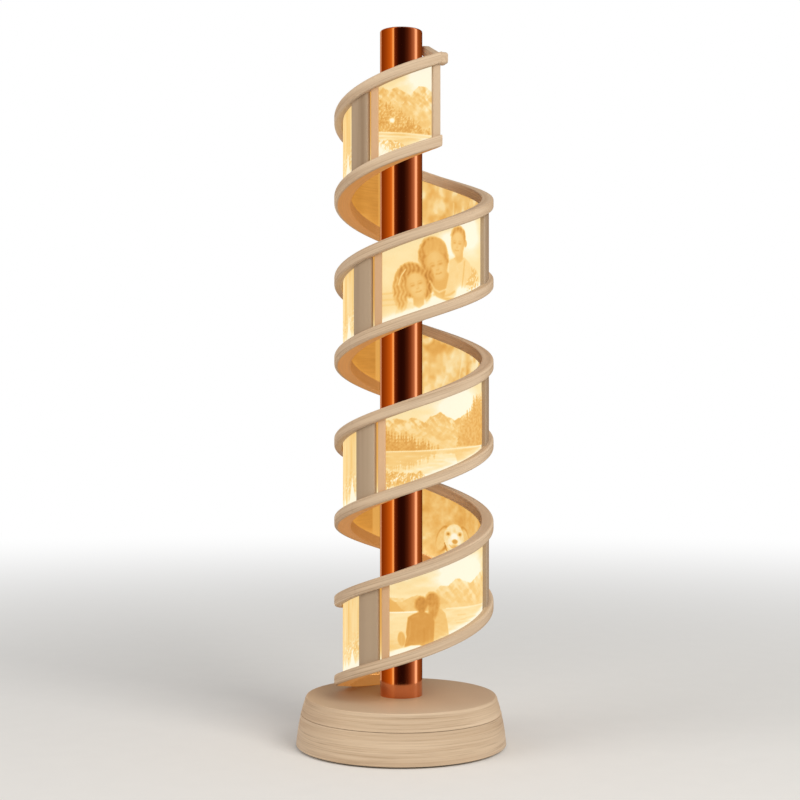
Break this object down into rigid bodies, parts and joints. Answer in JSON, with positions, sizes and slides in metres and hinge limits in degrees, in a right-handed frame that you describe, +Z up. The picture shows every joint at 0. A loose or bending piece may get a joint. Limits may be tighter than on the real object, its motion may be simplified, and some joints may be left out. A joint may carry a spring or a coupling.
{
  "type": "rotating helical picture lamp",
  "caption": "Round base with a turntable, a copper tube and a helical ribbon of lit relief panels that turn together as one.",
  "frame": {"origin": "middle of the base's underside, at the feet, on the tube's axis", "axes": "+Z up along the tube, front faces -Y, +X to the right"},
  "size_m": [0.1238, 0.1238, 0.4213],
  "materials": {
    "base_print": "matte printed plastic with fine layer lines",
    "ribbon_print": "matte printed plastic with fine layer lines",
    "litho_print": "thin translucent printed relief, lit from behind",
    "polished_copper": "polished copper",
    "black_plastic": "matte",
    "steel": "plain",
    "bearing_steel": "ground",
    "aluminium": "turned",
    "brass": "machined",
    "gear_plastic": "moulded",
    "motor_can": "satin",
    "circuit_board": "solder mask",
    "cable_sheath": "soft sheath",
    "rubber": "matte",
    "light_strip": "glowing filament strip"
  },
  "bodies": {
    "base": {"base_housing": "base_print", "bottom_cover": "black_plastic", "cover_screws": "steel", "rubber_feet": "rubber", "ballast_plate": "steel", "gear_motor": "motor_can", "motor_screws": "steel", "control_board": "circuit_board", "power_inlet": "steel", "switch_body": "black_plastic", "button_spring": "steel", "bearing_outer_race": "bearing_steel", "brush_block": "black_plastic", "brush_lead": "cable_sheath", "motor_lead": "cable_sheath", "inlet_lead": "cable_sheath"},
    "turntable": {"turntable_cap": "base_print", "spindle_sleeve": "aluminium", "drive_gear": "gear_plastic", "retaining_clip": "steel", "slip_ring_disc": "brass", "hub_screws": "steel", "foot_screws": "steel", "bearing_inner_race": "bearing_steel", "center_tube": "polished_copper", "tube_cap": "polished_copper", "top_arm": "ribbon_print", "arm_pin": "steel", "led_strip": "light_strip", "led_lead": "cable_sheath", "rail_dowels": "steel", "frame_segment_01": "ribbon_print", "frame_segment_02": "ribbon_print", "frame_segment_03": "ribbon_print", "frame_segment_04": "ribbon_print", "frame_segment_05": "ribbon_print", "frame_segment_06": "ribbon_print", "frame_segment_07": "ribbon_print", "frame_segment_08": "ribbon_print", "frame_segment_09": "ribbon_print", "frame_segment_10": "ribbon_print", "frame_segment_11": "ribbon_print", "litho_panel_01": "litho_print", "litho_panel_02": "litho_print", "litho_panel_03": "litho_print", "litho_panel_04": "litho_print", "litho_panel_05": "litho_print", "litho_panel_06": "litho_print", "litho_panel_07": "litho_print", "litho_panel_08": "litho_print", "litho_panel_09": "litho_print", "litho_panel_10": "litho_print", "litho_panel_11": "litho_print"},
    "pinion": {"motor_shaft": "steel", "motor_pinion": "brass"},
    "bearing_cage": {"bearing_balls": "bearing_steel", "bearing_cage": "brass"},
    "button": {"power_button": "base_print"}
  },
  "joints": [
    {"name": "turntable_spin", "type": "hinge", "parent": "base", "child": "turntable", "pos_m": [0, 0, 0], "axis": [0, 0, 1], "continuous": true},
    {"name": "pinion_spin", "type": "hinge", "parent": "base", "child": "pinion", "pos_m": [-0.03415, 0, 0.0217], "axis": [0, 0, 1], "continuous": true},
    {"name": "cage_spin", "type": "hinge", "parent": "base", "child": "bearing_cage", "pos_m": [0, 0, 0.0158], "axis": [0, 0, 1], "continuous": true},
    {"name": "button_press", "type": "slide", "parent": "base", "child": "button", "axis": [-0.5, -0.866, 0], "range_m": [0, 0.0015], "stiffness_N_per_m": 300, "springref_m": -0.001, "deforming": ["button_spring"]}
  ],
  "couplings": [
    {"joint": "pinion_spin", "follows": "turntable_spin", "ratio": -4},
    {"joint": "cage_spin", "follows": "turntable_spin", "ratio": 0.457}
  ]
}
